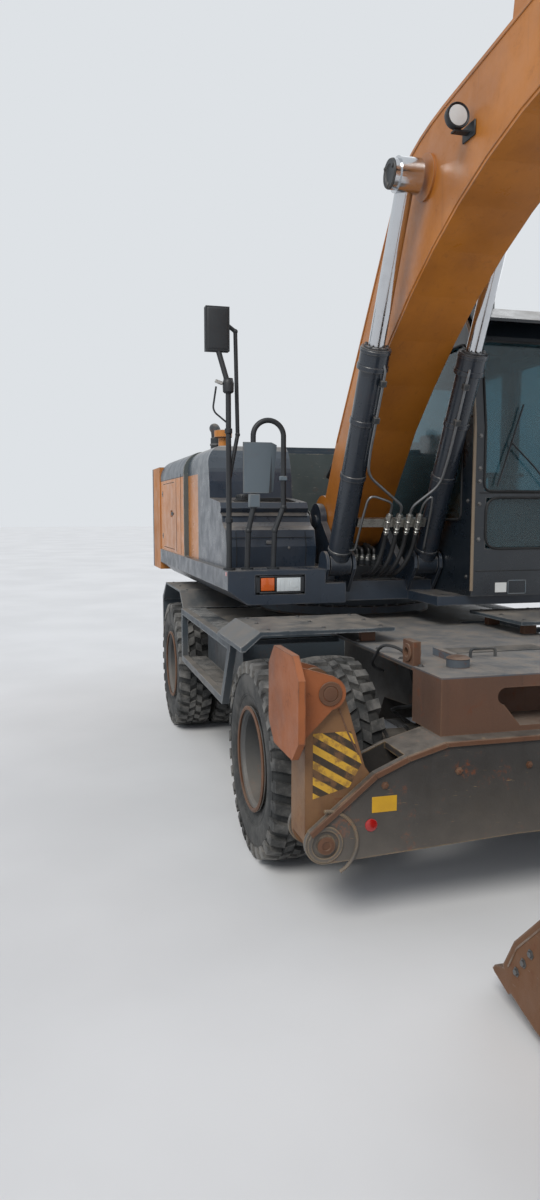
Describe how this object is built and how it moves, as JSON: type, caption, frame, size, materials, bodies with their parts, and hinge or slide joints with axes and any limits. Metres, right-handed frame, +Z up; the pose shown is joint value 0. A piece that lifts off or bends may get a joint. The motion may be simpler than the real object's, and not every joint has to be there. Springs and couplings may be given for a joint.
{
  "type": "wheeled excavator",
  "caption": "Wheeled excavator with a banana boom, arm, bucket, slewing cab and engine housing, twin wheels, steered front axle and a stabiliser with two swing legs",
  "frame": {"origin": "on the ground under the middle of the whole bounding box", "axes": "+X forward, toward the boom and the bucket; +Y to the machine's left; +Z up"},
  "size_m": [8.8733, 2.64, 4.6218],
  "materials": {
    "chassis_paint": "worn primer brown",
    "dark_steel": "worn dark grey paint",
    "step_grey": "blue grey paint, bare edges",
    "lamp_amber": "amber lens",
    "tyre": "dusty rubber",
    "rim_grey": "dusty grey paint",
    "chrome": "polished rod",
    "cylinder_grey": "dark blue grey paint",
    "machine_orange": "orange paint with wear",
    "slate_paint": "dark slate paint",
    "weight_grey": "grey paint",
    "cab_black": "dark grey paint",
    "glass": "teal tinted glass",
    "seat_fabric": "dark woven fabric",
    "black_plastic": "moulded plastic",
    "hose_black": "rubber hose",
    "leg_orange": "orange paint, worn",
    "pad_rust": "orange paint with rust",
    "bucket_steel": "scraped steel",
    "engine_iron": "cast iron"
  },
  "bodies": {
    "undercarriage": {"chassis_frame": "chassis_paint", "lashing_eyes": "chassis_paint", "stabiliser_beam": "dark_steel", "front_axle": "dark_steel", "rear_axle": "dark_steel", "fenders": "step_grey", "side_steps": "step_grey"},
    "knuckle_left": {"knuckle_left": "dark_steel"},
    "knuckle_right": {"knuckle_right": "dark_steel"},
    "steering_rod": {"steering_rod": "chrome"},
    "wheel_front_left": {"tyres_front_left": "tyre", "rim_front_left": "rim_grey"},
    "wheel_front_right": {"tyres_front_right": "tyre", "rim_front_right": "rim_grey"},
    "wheel_rear_left": {"tyres_rear_left": "tyre", "rim_rear_left": "rim_grey"},
    "wheel_rear_right": {"tyres_rear_right": "tyre", "rim_rear_right": "rim_grey"},
    "leg_left": {"leg_left": "leg_orange"},
    "pad_left": {"pad_left": "pad_rust"},
    "leg_barrel_left": {"leg_barrel_left": "cylinder_grey"},
    "leg_rod_left": {"leg_rod_left": "chrome"},
    "leg_right": {"leg_right": "leg_orange"},
    "pad_right": {"pad_right": "pad_rust"},
    "leg_barrel_right": {"leg_barrel_right": "cylinder_grey"},
    "leg_rod_right": {"leg_rod_right": "chrome"},
    "upper": {"platform": "slate_paint", "counterweight": "weight_grey", "engine_block": "engine_iron", "engine_housing": "machine_orange", "tank": "slate_paint", "handrails": "dark_steel", "mirror_post": "dark_steel", "hydraulic_lines": "hose_black", "exhaust": "dark_steel", "lamps": "lamp_amber", "cab_shell": "cab_black", "cab_trim": "step_grey", "cab_glass": "glass", "seat": "seat_fabric", "cab_controls": "black_plastic"},
    "cab_door": {"cab_door": "cab_black", "door_glass": "glass"},
    "engine_lid": {"engine_lid": "machine_orange"},
    "side_door_right": {"side_door_right": "machine_orange"},
    "side_door_left": {"side_door_left": "machine_orange"},
    "boom": {"boom": "machine_orange", "boom_lines": "hose_black"},
    "boom_barrels": {"boom_barrels": "cylinder_grey", "barrel_lines": "chrome"},
    "boom_rods": {"boom_rods": "chrome"},
    "arm": {"arm": "machine_orange"},
    "arm_barrel": {"arm_barrel": "cylinder_grey"},
    "arm_rod": {"arm_rod": "chrome"},
    "bucket_barrel": {"bucket_barrel": "cylinder_grey"},
    "bucket_rod": {"bucket_rod": "chrome"},
    "idler": {"idler_links": "bucket_steel"},
    "bucket_link": {"bucket_link": "bucket_steel"},
    "bucket": {"bucket": "bucket_steel"}
  },
  "joints": [
    {"name": "steer_left", "type": "hinge", "parent": "undercarriage", "child": "knuckle_left", "pos_m": [0.43334, 0.72, 0.528], "axis": [0, 0, 1], "range_deg": [-25, 25]},
    {"name": "steer_right", "type": "hinge", "parent": "undercarriage", "child": "knuckle_right", "pos_m": [0.43334, -0.72, 0.528], "axis": [0, 0, 1], "range_deg": [-25, 25]},
    {"name": "steering_rod_slide", "type": "slide", "parent": "undercarriage", "child": "steering_rod", "axis": [0, 1, 0], "range_m": [-0.12, 0.12]},
    {"name": "wheel_spin_front_left", "type": "hinge", "parent": "knuckle_left", "child": "wheel_front_left", "pos_m": [0.43334, 0.9725, 0.528], "axis": [0, 1, 0], "continuous": true},
    {"name": "wheel_spin_front_right", "type": "hinge", "parent": "knuckle_right", "child": "wheel_front_right", "pos_m": [0.43334, -0.9725, 0.528], "axis": [0, 1, 0], "continuous": true},
    {"name": "wheel_spin_rear_left", "type": "hinge", "parent": "undercarriage", "child": "wheel_rear_left", "pos_m": [-2.41666, 0.9725, 0.528], "axis": [0, 1, 0], "continuous": true},
    {"name": "wheel_spin_rear_right", "type": "hinge", "parent": "undercarriage", "child": "wheel_rear_right", "pos_m": [-2.41666, -0.9725, 0.528], "axis": [0, 1, 0], "continuous": true},
    {"name": "leg_swing_left", "type": "hinge", "parent": "undercarriage", "child": "leg_left", "pos_m": [1.26234, 1.17, 0.43], "axis": [-1, 0, 0], "range_deg": [0, 125]},
    {"name": "pad_tilt_left", "type": "hinge", "parent": "leg_left", "child": "pad_left", "pos_m": [1.26234, 1.15, 1.08], "axis": [1, 0, 0], "range_deg": [0, 45]},
    {"name": "leg_barrel_swing_left", "type": "hinge", "parent": "undercarriage", "child": "leg_barrel_left", "pos_m": [1.26234, 0.25, 0.6], "axis": [-1, 0, 0], "range_deg": [-2, 12]},
    {"name": "leg_rod_stroke_left", "type": "slide", "parent": "leg_barrel_left", "child": "leg_rod_left", "axis": [0, 0.998, 0.0637], "range_m": [-0.005, 0.55]},
    {"name": "leg_swing_right", "type": "hinge", "parent": "undercarriage", "child": "leg_right", "pos_m": [1.26234, -1.17, 0.43], "axis": [1, 0, 0], "range_deg": [0, 125]},
    {"name": "pad_tilt_right", "type": "hinge", "parent": "leg_right", "child": "pad_right", "pos_m": [1.26234, -1.15, 1.08], "axis": [-1, 0, 0], "range_deg": [0, 45]},
    {"name": "leg_barrel_swing_right", "type": "hinge", "parent": "undercarriage", "child": "leg_barrel_right", "pos_m": [1.26234, -0.25, 0.6], "axis": [1, 0, 0], "range_deg": [-2, 12]},
    {"name": "leg_rod_stroke_right", "type": "slide", "parent": "leg_barrel_right", "child": "leg_rod_right", "axis": [0, -0.998, 0.0637], "range_m": [-0.005, 0.55]},
    {"name": "slew", "type": "hinge", "parent": "undercarriage", "child": "upper", "pos_m": [-1.58666, 0, 1.2], "axis": [0, 0, 1], "continuous": true},
    {"name": "cab_door_swing", "type": "hinge", "parent": "upper", "child": "cab_door", "pos_m": [-1.11066, 1.18, 1.34], "axis": [0, 0, 1], "range_deg": [0, 110]},
    {"name": "engine_lid_swing", "type": "hinge", "parent": "upper", "child": "engine_lid", "pos_m": [-2.35666, 0, 2.3203], "axis": [0, 1, 0], "range_deg": [0, 60]},
    {"name": "side_door_right_swing", "type": "hinge", "parent": "upper", "child": "side_door_right", "pos_m": [-2.77266, -1.17, 1.496], "axis": [0, 0, 1], "range_deg": [0, 110]},
    {"name": "side_door_left_swing", "type": "hinge", "parent": "upper", "child": "side_door_left", "pos_m": [-2.77266, 1.17, 1.496], "axis": [0, 0, -1], "range_deg": [0, 110]},
    {"name": "boom_raise", "type": "hinge", "parent": "upper", "child": "boom", "pos_m": [-1.18666, -0.12, 1.76], "axis": [0, -1, 0], "range_deg": [-50, 37]},
    {"name": "boom_barrel_swing", "type": "hinge", "parent": "upper", "child": "boom_barrels", "pos_m": [-0.54666, -0.12, 1.49], "axis": [0, -1, 0], "range_deg": [-65, 65]},
    {"name": "boom_rod_stroke", "type": "slide", "parent": "boom_barrels", "child": "boom_rods", "axis": [0.4374, 0, 0.8993], "range_m": [-0.7, 0.6]},
    {"name": "arm_swing", "type": "hinge", "parent": "boom", "child": "arm", "pos_m": [3.86414, -0.12, 3.97714], "axis": [0, 1, 0], "range_deg": [-108, 6.5]},
    {"name": "arm_barrel_swing", "type": "hinge", "parent": "boom", "child": "arm_barrel", "pos_m": [1.21534, -0.12, 4.12493], "axis": [0, 1, 0], "range_deg": [-10, 10]},
    {"name": "arm_rod_stroke", "type": "slide", "parent": "arm_barrel", "child": "arm_rod", "axis": [0.992, 0, 0.1262], "range_m": [-1.3, 0.2]},
    {"name": "bucket_curl", "type": "hinge", "parent": "arm", "child": "bucket", "pos_m": [2.78296, -0.12, 1.23241], "axis": [0, 1, 0], "range_deg": [-80, 70]},
    {"name": "idler_swing", "type": "hinge", "parent": "arm", "child": "idler", "pos_m": [2.97946, -0.12, 1.64941], "axis": [0, 1, 0], "range_deg": [-90, 90]},
    {"name": "bucket_link_swing", "type": "hinge", "parent": "bucket", "child": "bucket_link", "pos_m": [3.14234, -0.12, 0.96159], "axis": [0, 1, 0], "range_deg": [-90, 90]},
    {"name": "bucket_barrel_swing", "type": "hinge", "parent": "arm", "child": "bucket_barrel", "pos_m": [4.22024, -0.12, 3.7079], "axis": [0, 1, 0], "range_deg": [-10, 10]},
    {"name": "bucket_rod_stroke", "type": "slide", "parent": "bucket_barrel", "child": "bucket_rod", "axis": [-0.2875, 0, -0.9578], "range_m": [-0.7, 0.7]}
  ],
  "couplings": [
    {"joint": "steer_right", "follows": "steer_left", "ratio": 1},
    {"joint": "steering_rod_slide", "follows": "steer_left", "m_per_rad": -0.25},
    {"joint": "leg_barrel_swing_left", "follows": "leg_swing_left", "ratio": 0.073137},
    {"joint": "leg_rod_stroke_left", "follows": "leg_swing_left", "m_per_rad": 0.23772},
    {"joint": "leg_barrel_swing_right", "follows": "leg_swing_right", "ratio": 0.073137},
    {"joint": "leg_rod_stroke_right", "follows": "leg_swing_right", "m_per_rad": 0.23772},
    {"joint": "boom_barrel_swing", "follows": "boom_raise", "ratio": 1.05},
    {"joint": "boom_rod_stroke", "follows": "boom_raise", "m_per_rad": 0.609},
    {"joint": "arm_barrel_swing", "follows": "arm_swing", "ratio": 0.02},
    {"joint": "arm_rod_stroke", "follows": "arm_swing", "m_per_rad": 0.631},
    {"joint": "idler_swing", "follows": "bucket_curl", "ratio": 0.75},
    {"joint": "bucket_link_swing", "follows": "bucket_curl", "ratio": -0.795},
    {"joint": "bucket_barrel_swing", "follows": "bucket_curl", "ratio": -0.025},
    {"joint": "bucket_rod_stroke", "follows": "bucket_curl", "m_per_rad": 0.398}
  ]
}
